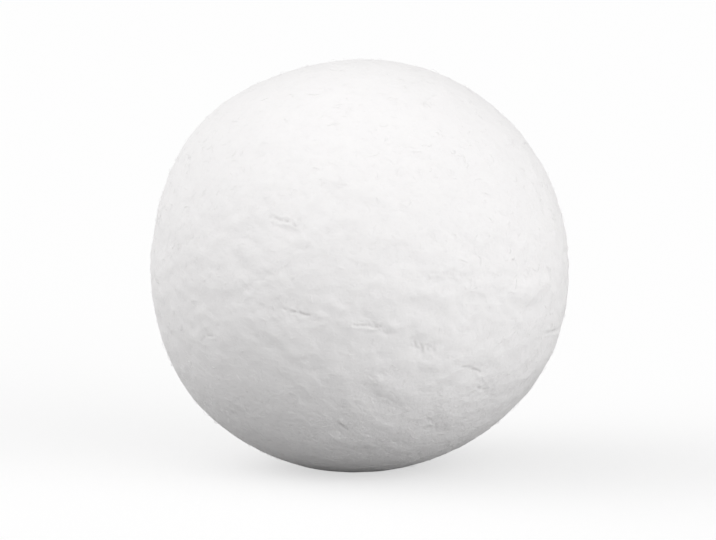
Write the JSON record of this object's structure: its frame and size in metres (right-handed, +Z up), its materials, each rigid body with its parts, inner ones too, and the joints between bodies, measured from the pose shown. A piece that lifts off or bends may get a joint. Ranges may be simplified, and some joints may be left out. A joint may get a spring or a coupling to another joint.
{
  "type": "cotton ball",
  "caption": "Soft, nearly round ball of rolled absorbent cotton wool, matte white, with shallow pinched creases and a small flat spot where it rests.",
  "frame": {"origin": "on the surface that the ball rests on, under the middle of its bounding box", "axes": "+Z up, out of the small flat spot; -Y towards the front, where most of the creases show; +X to the right of that front"},
  "size_m": [0.038, 0.0382, 0.0373],
  "materials": {
    "cotton": "matte, fibrous and unspun, bleached white"
  },
  "bodies": {
    "root": {"cotton_ball": "cotton"}
  },
  "joints": []
}
